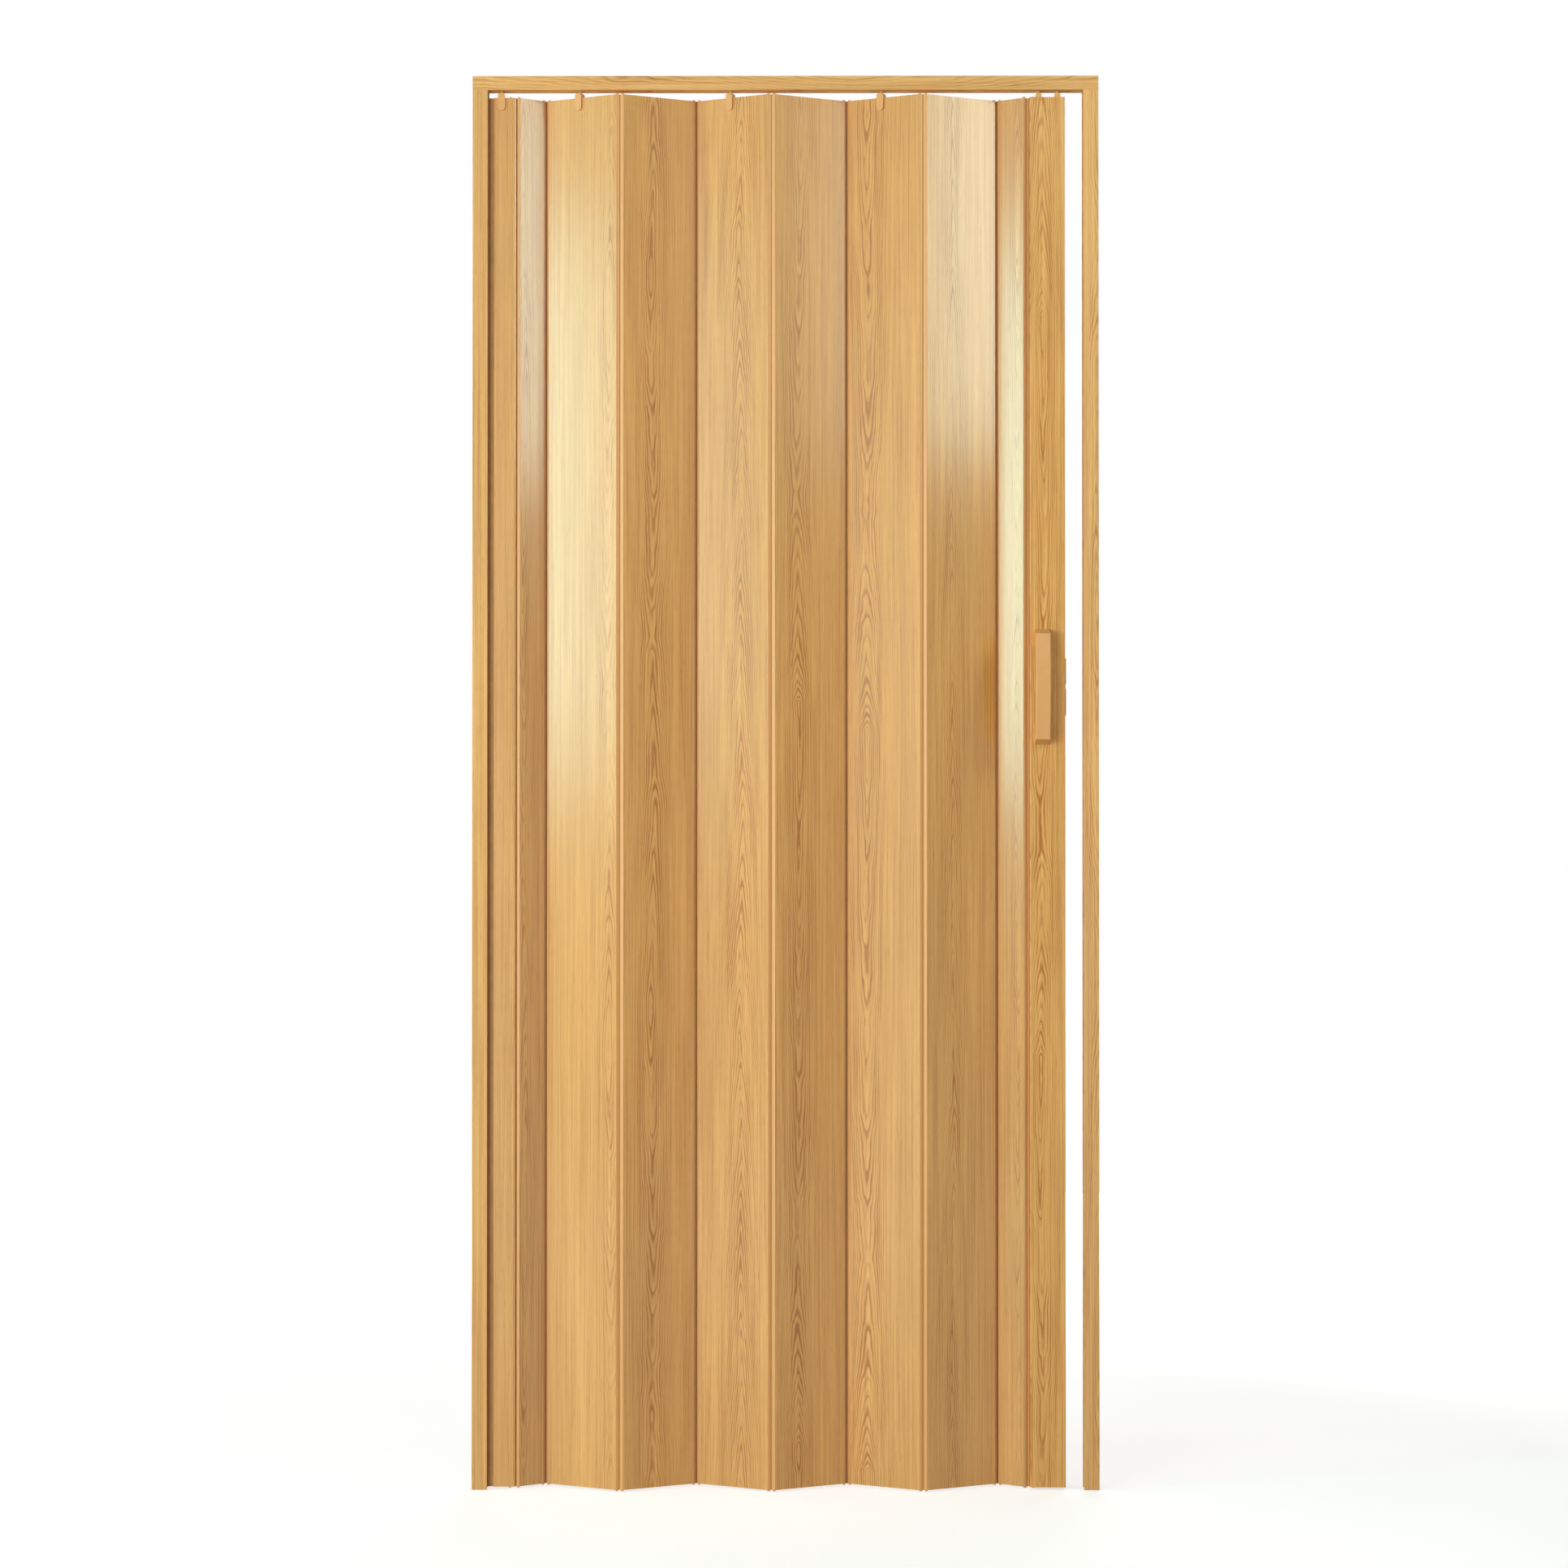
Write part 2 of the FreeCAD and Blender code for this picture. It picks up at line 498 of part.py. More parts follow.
# Handles
def handle(label, y, turn, is_rear):
    """A bow handle drawn with its base on the plane y = 0, its reach towards -Y and its middle at z = 0."""
    body = new_body(label)
    bow = new_sketch(body, "YZ_Plane", "BowProfile")
    reach = size("handle_reach")
    end_reach = size("handle_end_reach")
    half = size("handle_length") / 2
    front_half = half - size("handle_slant")
    gap_half = size("grip_length") / 2
    inner_half = gap_half - size("grip_slant")
    gap_depth = size("grip_depth")
    gap_end = size("grip_end_depth")
    corners = [(0, half), (-end_reach, front_half), (-end_reach, -front_half), (0, -half),
               (0, -gap_half), (-gap_end, -inner_half), (-gap_end, inner_half), (0, gap_half)]
    points = [FreeCAD.Vector(*corner) for corner in corners]
    outer = Part.Arc(points[1], FreeCAD.Vector(-reach, 0), points[2])
    inner = Part.Arc(points[5], FreeCAD.Vector(-gap_depth, 0), points[6])
    edges = [
        Part.LineSegment(points[0], points[1]),
        outer,
        Part.LineSegment(points[2], points[3]),
        Part.LineSegment(points[3], points[4]),
        Part.LineSegment(points[4], points[5]),
        inner,
        Part.LineSegment(points[6], points[7]),
        Part.LineSegment(points[7], points[0]),
    ]
    numbers = [bow.addGeometry(edge, False) for edge in edges]
    ends = bow_ends(bow, numbers, points)
    for i in range(8):
        bow.addConstraint(Sketcher.Constraint("Coincident", *ends[i][1], *ends[(i + 1) % 8][0]))
    formulas = [("0", "handle_length / 2"), ("-handle_end_reach", "handle_length / 2 - handle_slant"),
                ("-handle_end_reach", "-handle_length / 2 + handle_slant"), ("0", "-handle_length / 2"),
                ("0", "-grip_length / 2"), ("-grip_end_depth", "-grip_length / 2 + grip_slant"),
                ("-grip_end_depth", "grip_length / 2 - grip_slant"), ("0", "grip_length / 2")]
    for (start, _), (u, v) in zip(ends, formulas):
        bind_distance(bow, "DistanceX", ORIGIN_POINT, start, u)
        bind_distance(bow, "DistanceY", ORIGIN_POINT, start, v)
    bind_bow(bow, numbers[1], "(handle_reach - handle_end_reach)", "(handle_length / 2 - handle_slant)")
    bind_bow(bow, numbers[5], "(grip_depth - grip_end_depth)", "(grip_length / 2 - grip_slant)")
    pad(body, bow, "handle_base")
    lean_side(body, "0", "-handle_base", "-handle_draft")
    lean_side(body, "handle_base", "0", "handle_draft")
    dress(body, "Fillet", lambda edge: is_bow_edge(edge, end_reach), Radius="handle_round")
    for side in ("-", "+"):
        rise = f"0 {side} handle_screw_pitch / 2"
        if is_rear:
            cylinder_along(body, "Subtractive", "Y", ("handle_base / 2", "-screw_seat", rise),
                           "handle_screw_radius + screw_clearance", "screw_seat")
            cylinder_along(body, "Subtractive", "Y", ("handle_base / 2", "-2 * handle_reach", rise),
                           "screw_head_radius + screw_clearance", "2 * handle_reach - screw_seat")
        else:
            cylinder_along(body, "Subtractive", "Y", ("handle_base / 2", "-screw_bite", rise),
                           "handle_screw_radius", "screw_bite")
    middle = "handle_base / 2" if is_rear else "-handle_base / 2"
    place(body, x=f"handle_x + {middle}", y=y, z="handle_centre", turn=turn)


def bow_ends(sketch, numbers, points):
    """The first and last point of each edge, in the order of the outline."""
    ends = []
    for i, number in enumerate(numbers):
        begins_first = sketch.getPoint(number, 1).distanceToPoint(points[i]) < 1e-6
        ends.append(((number, 1), (number, 2)) if begins_first else ((number, 2), (number, 1)))
    return ends


def bind_bow(sketch, number, rise, run):
    """Binds the radius of an arc to its rise and to half its chord."""
    radius = sketch.addConstraint(Sketcher.Constraint("Radius", number, sketch.Geometry[number].Radius))
    sketch.setExpression(f"Constraints[{radius}]",
                         formula_of(f"({run} * {run} + {rise} * {rise}) / (2 * {rise})"))


def lean_side(body, corner, shift, lean):
    """Cuts one side of the handle, so that it leans in from the base corner towards the front."""
    cut = body.newObject("PartDesign::SubtractiveBox", "Box")
    bind(cut, Length="handle_base", Width="2 * handle_reach", Height="handle_length")
    base = f"create(<<vector>>; {corner}; 0; 0)"
    turn = f"create(<<rotation>>; create(<<vector>>; 0; 0; 1); {lean})"
    offset = f"create(<<vector>>; {shift}; -2 * handle_reach; -handle_length / 2)"
    level = "create(<<rotation>>; 0; 0; 0)"
    bind(cut, Placement=f"create(<<placement>>; {base}; {turn}) * create(<<placement>>; {offset}; {level})")


def is_bow_edge(edge, end_reach):
    """The long edges of the bow's outer face, and its two end corners."""
    return edge.CenterOfMass.y < -end_reach + 1e-3


def handle_screws():
    screws = []
    for i, side in enumerate(("-", "+"), start=1):
        body = new_body(f"handle_screw_{i}")
        cylinder_along(body, "Additive", "Y", ("0", "-post_thickness / 2 - screw_bite", "0"),
                       "handle_screw_radius", "screw_bite + post_thickness + screw_seat")
        cylinder_along(body, "Additive", "Y", ("0", "post_thickness / 2 + screw_seat", "0"),
                       "screw_head_radius", "screw_head_height")
        place(body, x="handle_x", z=f"handle_centre {side} handle_screw_pitch / 2")
        screws.append(body)
    group(screws, "handle_screws")


# Magnetic catch
MAGNET_RISE = "( holder_notch + holder_length ) / 4"


def magnet_holder():
    """Drawn with the leading face of the post at x = 0 and its middle at z = 0."""
    body = new_body("magnet_holder")
    at = ("-holder_body_depth", "-holder_body_width / 2", "-holder_body_length / 2")
    solid_box(body, "Additive", at, ("holder_body_depth", "holder_body_width", "holder_body_length"))
    solid_box(body, "Additive", ("0", "-holder_width / 2", "-holder_length / 2"),
              ("holder_pad", "holder_width", "holder_length"))
    dress(body, "Chamfer",
          lambda edge: straight_along(edge, 1) and near(edge.CenterOfMass.x, size("holder_pad")),
          Size="holder_bevel")
    solid_box(body, "Subtractive", ("holder_land", "-holder_width / 2", "-holder_notch / 2"),
              ("holder_pad - holder_land", "holder_width", "holder_notch"))
    for side in ("-", "+"):
        solid_box(body, "Subtractive",
                  ("holder_pad - magnet_recess - magnet_depth", "-magnet_width / 2",
                   f"0 {side} {MAGNET_RISE} - magnet_length / 2"),
                  ("magnet_depth + magnet_recess", "magnet_width", "magnet_length"))
    place(body, x="post_right_x", z="handle_centre")


def magnets():
    bars = []
    for i, side in enumerate(("-", "+"), start=1):
        body = new_body(f"magnet_{i}")
        solid_box(body, "Additive", ("-magnet_depth", "-magnet_width / 2", "-magnet_length / 2"),
                  ("magnet_depth", "magnet_width", "magnet_length"))
        place(body, x="post_right_x + holder_pad - magnet_recess",
              z=f"handle_centre {side} {MAGNET_RISE}")
        bars.append(body)
    group(bars, "magnets")


def strike_plate():
    body = new_body("strike_plate")
    solid_box(body, "Additive", ("0", "-strike_width / 2", "-strike_length / 2"),
              ("strike_thickness", "strike_width", "strike_length"))
    for side in ("-", "+"):
        cylinder_along(body, "Subtractive", "X", ("0", "0", f"0 {side} rivet_pitch / 2"),
                       "rivet_radius", "strike_thickness")
    place(body, x="frame_width / 2 - frame_wall - strike_thickness", z="handle_centre")


def strike_rivets():
    rivets = []
    for i, side in enumerate(("-", "+"), start=1):
        body = new_body(f"strike_rivet_{i}")
        cylinder_along(body, "Additive", "X", ("0", "0", "0"), "rivet_radius",
                       "strike_thickness + frame_wall - rivet_cover")
        cylinder_along(body, "Additive", "X", ("-rivet_head_height", "0", "0"), "rivet_head_radius",
                       "rivet_head_height")
        place(body, x="frame_width / 2 - frame_wall - strike_thickness",
              z=f"handle_centre {side} rivet_pitch / 2")
        rivets.append(body)
    group(rivets, "strike_rivets")


# Assembly
folds = round(layout.get("folds"))
full_panels = folds - 1
END_PANEL_CELLS = equal_cells("panel_edge", "end_panel_pitch - panel_edge")
FIRST_VALLEY_X = "wall_pivot_x + end_run"
FOLD_STEP = "( panel_run + hinge_pitch )"

top_track()
jamb("wall_jamb", "-frame_width / 2", "0")
jamb("strike_jamb", "frame_width / 2", "180")
wall_stile()
glide("wall_glide", "( stile_left_x + wall_pivot_x - socket_radius - socket_wall + stile_wall ) / 2", "0",
      "glide_width", "( stile_thickness - 2 * stile_wall )", "stile_thickness / 2")

hinge_strip("wall_hinge_strip", "end_hinge_pitch", ("bead_radius", "socket_radius"), "wall_pivot_x", "0")
slat("end_panel_wall", "end_panel_pitch", END_PANEL_CELLS, 1,
     "wall_pivot_x + end_hinge_pitch", "0", "end_panel_angle")
for i in range(1, full_panels + 1):
    at_back = i % 2 == 1
    track_line = "end_pitch" if at_back else "(panel_pitch - end_pitch)"
    cells = equal_cells("panel_edge", f"{track_line} - glide_cell / 2 - panel_rib")
    cells.append((f"{track_line} - glide_cell / 2", "glide_cell"))
    cells += equal_cells(f"{track_line} + glide_cell / 2 + panel_rib", "panel_pitch - panel_edge")
    left_bead = f"{FIRST_VALLEY_X} + hinge_pitch + {i - 1} * {FOLD_STEP}"
    slat(f"panel_{i}", "panel_pitch", cells, -1 if at_back else 1, left_bead,
         "back_depth" if at_back else "-front_depth",
         "-fold_angle" if at_back else "fold_angle")
    if at_back:
        glide(f"panel_glide_{(i + 1) // 2}", f"{left_bead} + end_run", "-fold_angle",
              "glide_width", "( panel_thickness - 2 * panel_wall )", "panel_thickness / 2")
for i in range(1, folds + 1):
    hinge_strip(f"hinge_strip_{i}", "hinge_pitch", ("bead_radius", "bead_radius"),
                f"{FIRST_VALLEY_X} + {i - 1} * {FOLD_STEP}",
                "back_depth" if i % 2 == 1 else "-front_depth")
slat("end_panel_lead", "end_panel_pitch", END_PANEL_CELLS, -1,
     f"{FIRST_VALLEY_X} + hinge_pitch + {folds - 1} * {FOLD_STEP}", "back_depth", "-end_panel_angle")
hinge_strip("lead_hinge_strip", "end_hinge_pitch", ("socket_radius", "bead_radius"),
            "lead_pivot_x - end_hinge_pitch", "0")

lead_post()
lead_glides()
handle("front_handle", "-post_thickness / 2", "0", False)
handle("rear_handle", "post_thickness / 2", "180", True)
handle_screws()
magnet_holder()
magnets()
strike_plate()
strike_rivets()
doc.recompute()

# Checks and export
members = {item.Name for node in doc.Objects if node.TypeId == "Part::Compound" for item in node.Links}
for item in doc.Objects:
    if "Invalid" in item.State or "Error" in item.State:
        raise RuntimeError(f"{item.Label} did not build: {item.State}")
for item in doc.Objects:
    if item.TypeId not in ("PartDesign::Body", "Part::Compound") or item.Name in members:
        continue
    if item.Shape.isNull() or not item.Shape.isValid():
        raise RuntimeError(f"{item.Label} has no valid shape")
    item.Shape.exportStep(f"parts/{item.Label}.step")
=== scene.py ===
import json
import math

import bmesh
import bpy
from mathutils import Matrix, Vector


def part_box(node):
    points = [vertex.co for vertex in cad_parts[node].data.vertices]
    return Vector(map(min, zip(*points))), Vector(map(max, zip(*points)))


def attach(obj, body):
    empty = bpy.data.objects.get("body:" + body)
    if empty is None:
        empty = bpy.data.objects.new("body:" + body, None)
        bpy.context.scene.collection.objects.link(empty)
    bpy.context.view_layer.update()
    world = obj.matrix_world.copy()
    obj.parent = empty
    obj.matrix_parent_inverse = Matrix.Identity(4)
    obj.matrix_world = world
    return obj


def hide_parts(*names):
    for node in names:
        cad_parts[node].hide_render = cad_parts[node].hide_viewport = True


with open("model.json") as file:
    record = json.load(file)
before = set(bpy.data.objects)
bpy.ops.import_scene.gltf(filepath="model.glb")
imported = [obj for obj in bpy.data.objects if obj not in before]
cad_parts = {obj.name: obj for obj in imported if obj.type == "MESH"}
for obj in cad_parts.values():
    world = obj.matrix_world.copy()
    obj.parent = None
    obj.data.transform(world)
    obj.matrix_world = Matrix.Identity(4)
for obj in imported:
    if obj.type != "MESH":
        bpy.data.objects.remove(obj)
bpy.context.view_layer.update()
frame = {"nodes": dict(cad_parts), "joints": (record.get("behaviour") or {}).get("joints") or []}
scene = bpy.context.scene
scene.view_settings.view_transform = "Standard"

# Sizes of the part, in metres
SLAT_HALF = 0.0037
SLAT_WALL = 0.001
SLAT_RIB = 0.0008
SLAT_EDGE = 0.0055
GLIDE_CELL = 0.0144
END_PITCH = 0.0517
END_HINGE_PITCH = 0.012
HINGE_PITCH = 0.008
WEB_HALF = 0.0006
BEAD_RADIUS = 0.0019
BEAD_PROUD = 0.002
SOCKET_RADIUS = 0.00196
SOCKET_WALL = 0.0018
STILE_LEFT = -0.4195
STILE_HALF = 0.0055
STILE_NOSE = 0.008
STILE_WALL = 0.0015
TONGUE_LEFT = -0.438
TONGUE_HALF = 0.002
CROSS_BAR_HALF = 0.011
POST_WALL = 0.0015
POST_NOSE = 0.0048
POST_WIDTH = 0.051
POST_HALF = 0.009
POST_ROUND = 0.0015

# Angles of the part, in degrees round a bead axis
MOUTH_LOW = -1.51
MOUTH_HIGH = 107.85
SWING_LOW = -28.56
SWING_HIGH = 73.57

# Small forms that only the scene has, in metres and degrees
FOIL_WRAP = 10.0
LIP_END = 8.0
LIP_BOW = 0.0004
MOUTH_SIDE = 0.00068
EDGE_ROUND = 0.0004
BEAD_BEVEL = 0.0004
SHADE_BAND_HALF = 0.0011
RIB_HALF = 0.00025
RIB_TOP = 0.00128
STILE_BEVEL = 0.0022
STILE_BEVEL_DEPTH = STILE_BEVEL * 0.7
STILE_BEVEL_BOW = 0.0001

# How finely the round forms are cut
WRAP_STEPS = 3
LIP_STEPS = 8
SOCKET_STEPS = 24
BEAD_STEPS = 24
BEAD_END_STEPS = 32
EDGE_STEPS = 4
POST_STEPS = 8

# Limits for a sharp edge and for points that fall together
SHARP_ANGLE = math.radians(32.0)
SAME_PLACE = 1e-7

# Material slots of a profile
FOIL = 0
PLAIN = 1
# The third slot is dark: in a hinge web it is painted shade of the crease, on the stile it is the brown of
# the tongue
DARK_FINISH = 2

# A section is drawn round a bead axis
BEAD_AXIS = (0.0, 0.0)

axis_of = {joint["name"]: Vector(joint["pos_m"]) for joint in frame["joints"]}
slat_low, slat_high = (corner.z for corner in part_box("panel_1"))


# Node helpers
UNIT = (0.0, 1.0)
NOISE_SPAN = (0.3, 0.7)
BUMP_DISTANCE = 0.0001


def connect(tree, socket, value):
    """Sets an input to a number or colour, or links it to an output."""
    if isinstance(value, bpy.types.NodeSocket):
        tree.links.new(value, socket)
    else:
        socket.default_value = value


def calc(tree, operation, *values):
    node = tree.nodes.new("ShaderNodeMath")
    node.operation = operation
    for socket, value in zip(node.inputs, values):
        connect(tree, socket, value)
    return node.outputs[0]


def vector_of(tree, x, y, z):
    node = tree.nodes.new("ShaderNodeCombineXYZ")
    for socket, value in zip(node.inputs, (x, y, z)):
        connect(tree, socket, value)
    return node.outputs[0]


def noise(tree, vector, scale=1.0, detail=2.0):
    node = tree.nodes.new("ShaderNodeTexNoise")
    connect(tree, node.inputs["Vector"], vector)
    node.inputs["Scale"].default_value = scale
    node.inputs["Detail"].default_value = detail
    return node.outputs["Fac"]


def stretch(tree, value, source, target):
    """Maps one range of a value to another and holds it there. Each range is a pair of low and high."""
    node = tree.nodes.new("ShaderNodeMapRange")
    connect(tree, node.inputs["Value"], value)
    for name, number in zip(("From Min", "From Max", "To Min", "To Max"), (*source, *target)):
        node.inputs[name].default_value = number
    return node.outputs["Result"]


def ramp(tree, value, stops):
    """A grey ramp through pairs of position and level."""
    node = tree.nodes.new("ShaderNodeValToRGB")
    connect(tree, node.inputs["Fac"], value)
    elements = node.color_ramp.elements
    while len(elements) < len(stops):
        elements.new(0.5)
    for element, (position, level) in zip(elements, stops):
        element.position = position
        element.color = (level, level, level, 1.0)
    return node.outputs["Color"]


def blend_colours(tree, factor, first, second):
    node = tree.nodes.new("ShaderNodeMix")
    node.data_type = "RGBA"
    connect(tree, node.inputs["Factor"], factor)
    colours = [socket for socket in node.inputs if socket.type == "RGBA"]
    connect(tree, colours[0], first)
    connect(tree, colours[1], second)
    return [socket for socket in node.outputs if socket.type == "RGBA"][0]


def new_material(name):
    """A material with its node tree, its main shader and the coordinates of the object's own mesh."""
    material = bpy.data.materials.new(name)
    material.use_nodes = True
    tree = material.node_tree
    shader = tree.nodes["Principled BSDF"]
    place = tree.nodes.new("ShaderNodeTexCoord").outputs["Object"]
    return material, tree, shader, place


def add_bump(tree, shader, height, strength):
    node = tree.nodes.new("ShaderNodeBump")
    node.inputs["Strength"].default_value = strength
    node.inputs["Distance"].default_value = BUMP_DISTANCE
    connect(tree, node.inputs["Height"], height)
    connect(tree, shader.inputs["Normal"], node.outputs["Normal"])


# Oak foil, with lengths in metres
FOIL_LIGHT = (0.805, 0.444, 0.140, 1.0)
FOIL_DARK = (0.437, 0.157, 0.030, 1.0)
FOIL_ROUGHNESS = 0.17
LINE_ROUGHNESS = 0.05
FOIL_BUMP = 0.05
FOIL_REPEAT = 1.065
RING_POWER = 1.3
LEAST_RISE = 0.3

# Shade across one ring, as pairs of position and level
RING_SHADE = ((0.0, 1.0), (0.15, 0.80), (0.34, 0.25), (0.60, 0.0), (0.84, 0.10), (0.93, 0.70), (1.0, 1.0))

# What each range of a distance or a noise is mapped to
RING_CROWDING = ((0.0, 0.09), (1.0, 3.0))
RING_STRENGTH = (UNIT, (0.25, 1.0))
RING_FADE = ((0.32, 0.66), (0.3, 1.1))
CENTRE_STRENGTH = ((0.009, 0.032), (1.0, 0.5))
PORE_SHADE = ((0.52, 0.74), (0.0, 0.22))
HAIR_SHADE = ((0.36, 0.70), (0.0, 0.46))
BROAD_TONE = (NOISE_SPAN, (0.94, 1.05))

GRAIN_DEFAULTS = {
    "depth": 12.0, "skew": 1.0, "climb": 0.0, "spacing": 0.0030, "contrast": 1.45, "tone": 1.0,
    "saturation": 1.0,
}
GRAIN_INPUTS = ("across", "along", "seed", "centre", "start", *GRAIN_DEFAULTS)


def make_grain():
    """Flat-sawn oak from growth rings. Across and along are metres on the foil. The rings close to ovals
    at centre and start, and open into as many arches as depth says above and below them. Climb is arches
    per metre that are stacked one way."""
    tree = bpy.data.node_groups.new("oak_grain", "ShaderNodeTree")
    for name in GRAIN_INPUTS:
        tree.interface.new_socket(name, in_out="INPUT", socket_type="NodeSocketFloat")
    tree.interface.new_socket("colour", in_out="OUTPUT", socket_type="NodeSocketColor")
    tree.interface.new_socket("lines", in_out="OUTPUT", socket_type="NodeSocketFloat")
    given = tree.nodes.new("NodeGroupInput").outputs
    across, along, seed, centre, start, depth, skew, climb, spacing, contrast, tone, saturation = (
        given[name] for name in GRAIN_INPUTS
    )

    def add(first, second):
        return calc(tree, "ADD", first, second)

    def minus(first, second):
        return calc(tree, "SUBTRACT", first, second)

    def times(first, second):
        return calc(tree, "MULTIPLY", first, second)

    def grain_noise(across_scale, along_scale, shift, detail):
        """Noise stretched along the grain, with its scales in cells per metre."""
        place = vector_of(tree, times(across, across_scale), times(along, along_scale), add(seed, shift))
        return noise(tree, place, detail=detail)

    def wander(reach, **where):
        return times(minus(grain_noise(**where), 0.5), reach)

    drift = wander(0.020, across_scale=0.0, along_scale=2.6, shift=0.0, detail=2.0)
    side = calc(tree, "ABSOLUTE", add(minus(across, centre), drift))
    turns = calc(tree, "FRACT", calc(tree, "DIVIDE", minus(along, start), FOIL_REPEAT))
    phase = calc(tree, "POWER", turns, skew)
    swing = minus(1.0, calc(tree, "ABSOLUTE", minus(times(phase, 2.0), 1.0)))
    uneven = wander(2.4, across_scale=0.0, along_scale=14.0, shift=3.0, detail=2.0)
    rise = add(calc(tree, "ABSOLUTE", add(times(swing, depth), uneven)), LEAST_RISE)
    side_lines = times(calc(tree, "DIVIDE", side, spacing), stretch(tree, side, *RING_CROWDING))
    powers = add(calc(tree, "POWER", side_lines, RING_POWER), calc(tree, "POWER", rise, RING_POWER))
    rings = calc(tree, "POWER", powers, 1.0 / RING_POWER)
    ragged = add(
        wander(1.1, across_scale=80.0, along_scale=9.0, shift=5.0, detail=3.0),
        wander(0.35, across_scale=300.0, along_scale=30.0, shift=6.0, detail=1.0),
    )
    count = add(add(rings, times(along, climb)), ragged)

    line = ramp(tree, calc(tree, "FRACT", count), RING_SHADE)
    ring_tone = tree.nodes.new("ShaderNodeTexWhiteNoise")
    ring_tone.noise_dimensions = "1D"
    tree.links.new(add(calc(tree, "FLOOR", count), seed), ring_tone.inputs["W"])
    strength = stretch(tree, ring_tone.outputs["Value"], *RING_STRENGTH)
    patches = grain_noise(across_scale=70.0, along_scale=7.0, shift=7.0, detail=2.0)
    fade = stretch(tree, patches, *RING_FADE)
    near_centre = stretch(tree, side, *CENTRE_STRENGTH)
    lines = times(times(line, strength), times(fade, near_centre))

    fine_marks = grain_noise(across_scale=1500.0, along_scale=50.0, shift=9.0, detail=1.0)
    pores = stretch(tree, fine_marks, *PORE_SHADE)
    long_marks = grain_noise(across_scale=620.0, along_scale=3.0, shift=11.0, detail=2.0)
    hair = stretch(tree, long_marks, *HAIR_SHADE)
    shade = calc(tree, "MINIMUM", add(times(lines, contrast), add(pores, hair)), 1.0)

    colour = blend_colours(tree, shade, FOIL_LIGHT, FOIL_DARK)
    clouds = grain_noise(across_scale=30.0, along_scale=1.8, shift=13.0, detail=2.0)
    broad = stretch(tree, clouds, *BROAD_TONE)
    tinted = tree.nodes.new("ShaderNodeHueSaturation")
    tree.links.new(colour, tinted.inputs["Color"])
    tree.links.new(times(broad, tone), tinted.inputs["Value"])
    tree.links.new(saturation, tinted.inputs["Saturation"])
    result = tree.nodes.new("NodeGroupOutput").inputs
    tree.links.new(tinted.outputs["Color"], result["colour"])
    tree.links.new(shade, result["lines"])
    return tree


grain = make_grain()


def foil(name, seed, centre, start, shine=0.6, level=False, **changes):
    """Satin oak foil. The grain runs up the piece, or along it where the piece lies level. The changes are
    to the grain's defaults."""
    material, tree, shader, place = new_material(f"oak_foil_{name}")
    parts = tree.nodes.new("ShaderNodeSeparateXYZ")
    tree.links.new(place, parts.inputs[0])
    x, y, z = parts.outputs
    across, along = (z, x) if level else (x, z)
    group = tree.nodes.new("ShaderNodeGroup")
    group.node_tree = grain
    settings = {**GRAIN_DEFAULTS, "seed": seed, "centre": centre, "start": start, **changes}
    settings["across"] = calc(tree, "ADD", across, y)
    settings["along"] = along
    for key, value in settings.items():
        connect(tree, group.inputs[key], value)
    tree.links.new(group.outputs["colour"], shader.inputs["Base Color"])
    lines = group.outputs["lines"]
    gloss = calc(tree, "MULTIPLY_ADD", lines, LINE_ROUGHNESS, FOIL_ROUGHNESS)
    tree.links.new(gloss, shader.inputs["Roughness"])
    shader.inputs["Specular IOR Level"].default_value = shine
    add_bump(tree, shader, calc(tree, "SUBTRACT", 1.0, lines), FOIL_BUMP)
    return material


# Plain plastic and metal
CLOUD_SCALE = 60.0
SPECKLE_SCALE = 2600.0
SPECKLE_ROUGHNESS = 0.05
SPECKLE_BUMP = 0.10
BRUSH_DARK = 0.82
BRUSH_ROUGHNESS = 0.08
BRUSH_BUMP = 0.08


def vary_roughness(tree, shader, pattern, roughness, spread):
    varied = stretch(tree, pattern, NOISE_SPAN, (roughness - spread, roughness + spread))
    tree.links.new(varied, shader.inputs["Roughness"])


def plastic(name, colour, mottle, roughness=0.36, shine=0.5):
    """Moulded or extruded plastic: a little cloudy in colour, with a fine grain."""
    material, tree, shader, place = new_material(name)
    cloud = noise(tree, place, CLOUD_SCALE, 3.0)
    dark = tuple(channel * (1.0 - mottle) for channel in colour)
    light = tuple(min(1.0, channel * (1.0 + mottle)) for channel in colour)
    tone = blend_colours(tree, stretch(tree, cloud, NOISE_SPAN, UNIT), (*dark, 1.0), (*light, 1.0))
    tree.links.new(tone, shader.inputs["Base Color"])
    speckle = noise(tree, place, SPECKLE_SCALE, 2.0)
    vary_roughness(tree, shader, speckle, roughness, SPECKLE_ROUGHNESS)
    shader.inputs["Specular IOR Level"].default_value = shine
    add_bump(tree, shader, speckle, SPECKLE_BUMP)
    return material


def metal(name, colour, roughness, brush):
    """Plated steel or sintered metal. Brush is how many marks a metre holds along each axis of the piece."""
    material, tree, shader, place = new_material(name)
    shader.inputs["Metallic"].default_value = 1.0
    mapped = tree.nodes.new("ShaderNodeMapping")
    mapped.inputs["Scale"].default_value = brush
    tree.links.new(place, mapped.inputs["Vector"])
    marks = noise(tree, mapped.outputs["Vector"], detail=3.0)
    dark = tuple(channel * BRUSH_DARK for channel in colour)
    tone = blend_colours(tree, stretch(tree, marks, NOISE_SPAN, UNIT), (*dark, 1.0), (*colour, 1.0))
    tree.links.new(tone, shader.inputs["Base Color"])
    vary_roughness(tree, shader, marks, roughness, BRUSH_ROUGHNESS)
    add_bump(tree, shader, marks, BRUSH_BUMP)
    return material


